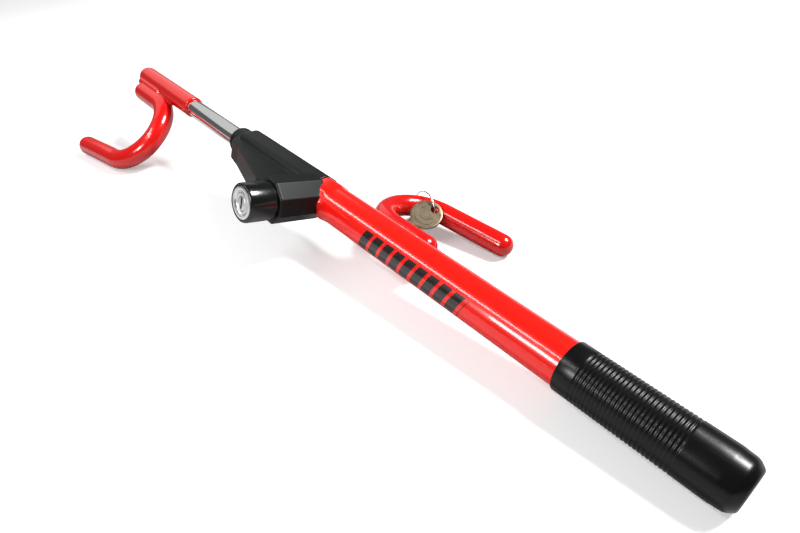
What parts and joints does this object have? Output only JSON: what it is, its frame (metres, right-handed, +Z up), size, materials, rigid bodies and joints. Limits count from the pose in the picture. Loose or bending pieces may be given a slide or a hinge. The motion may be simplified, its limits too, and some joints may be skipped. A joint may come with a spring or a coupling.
{
  "type": "steering wheel lock",
  "caption": "Telescoping bar with two coated U hooks that brace against a steering wheel rim, a ratchet rod, a ribbed grip and a key lock.",
  "frame": {"origin": "centre of the bounding box on the floor the lock lies on", "axes": "+X along the bar towards the grip, +Z up from the floor, -Y towards the key barrel"},
  "size_m": [0.666, 0.1914, 0.0743],
  "materials": {
    "red_paint": "gloss red enamel",
    "red_vinyl": "smooth glossy dipped vinyl",
    "grip_rubber": "ribbed black rubber with a satin shine",
    "plug_rubber": "smooth black rubber",
    "black_enamel": "satin black enamel",
    "chrome": "polished",
    "zinc": "fine turned nickel",
    "brass": "stamped",
    "key_metal": "dull nickel-silver, rolled",
    "ring_wire": "bright drawn wire",
    "steel": "zinc plated",
    "hook_steel": "bare rolled bar",
    "weld": "bare weld",
    "spring_steel": "blued wire",
    "hard_steel": "ground",
    "nylon": "moulded"
  },
  "bodies": {
    "housing": {"outer_tube": "red_paint", "grip_sleeve": "grip_rubber", "end_plug": "plug_rubber", "nose_bush": "nylon", "tube_hook_core": "hook_steel", "tube_hook_coating": "red_vinyl", "tube_hook_weld": "weld", "lock_body": "black_enamel", "body_pin_front": "steel", "body_pin_rear": "steel", "barrel_screw": "steel", "barrel_sleeve": "black_enamel", "lock_cylinder": "zinc", "pawl_spring": "spring_steel"},
    "slider": {"rod_guide_bush": "nylon"},
    "rod_assembly": {"rod": "chrome", "rod_end_screw": "steel", "rod_hook_core": "hook_steel", "rod_hook_coating": "red_vinyl", "rod_hook_weld": "weld"},
    "plug": {"lock_plug": "zinc", "wafer_1": "brass", "wafer_2": "brass", "wafer_3": "brass", "wafer_4": "brass", "wafer_5": "brass", "plug_clip": "spring_steel", "cam_pin": "steel"},
    "pawl": {"locking_pawl": "hard_steel"},
    "ring": {"key_ring": "ring_wire"},
    "key_a": {"key_a": "key_metal"},
    "key_b": {"key_b": "key_metal"}
  },
  "joints": [
    {"name": "rod_slide", "type": "slide", "parent": "housing", "child": "slider", "axis": [0.9971, 0, -0.0759], "range_m": [-0.2, 0.0875]},
    {"name": "rod_swivel", "type": "hinge", "parent": "slider", "child": "rod_assembly", "pos_m": [0.22518, -0.00414, 0.02276], "axis": [0.9971, 0, -0.0759], "continuous": true},
    {"name": "plug_turn", "type": "hinge", "parent": "housing", "child": "plug", "pos_m": [0.00626, -0.05181, 0.05454], "axis": [0.0229, -0.9535, 0.3005], "range_deg": [-90, 0]},
    {"name": "pawl_lift", "type": "slide", "parent": "housing", "child": "pawl", "axis": [0.0229, -0.9535, 0.3005], "range_m": [-0.0019, 0], "deforming": ["pawl_spring"]},
    {"name": "ring_swing", "type": "hinge", "parent": "housing", "child": "ring", "pos_m": [0.04837, 0.06378, 0.01728], "axis": [0.745, 0.6257, -0.2312], "range_deg": [-4, 2]},
    {"name": "key_a_swing", "type": "hinge", "parent": "ring", "child": "key_a", "pos_m": [0.06354, 0.06031, 0.0221], "axis": [0.3647, -0.3105, 0.8778], "range_deg": [-2, 12]},
    {"name": "key_b_swing", "type": "hinge", "parent": "ring", "child": "key_b", "pos_m": [0.03801, 0.06239, 0.0086], "axis": [0.1583, 0.0594, 0.9856], "range_deg": [-5, 45]}
  ],
  "couplings": [
    {"joint": "plug_turn", "follows": "pawl_lift", "rad_per_m": 826.73}
  ]
}
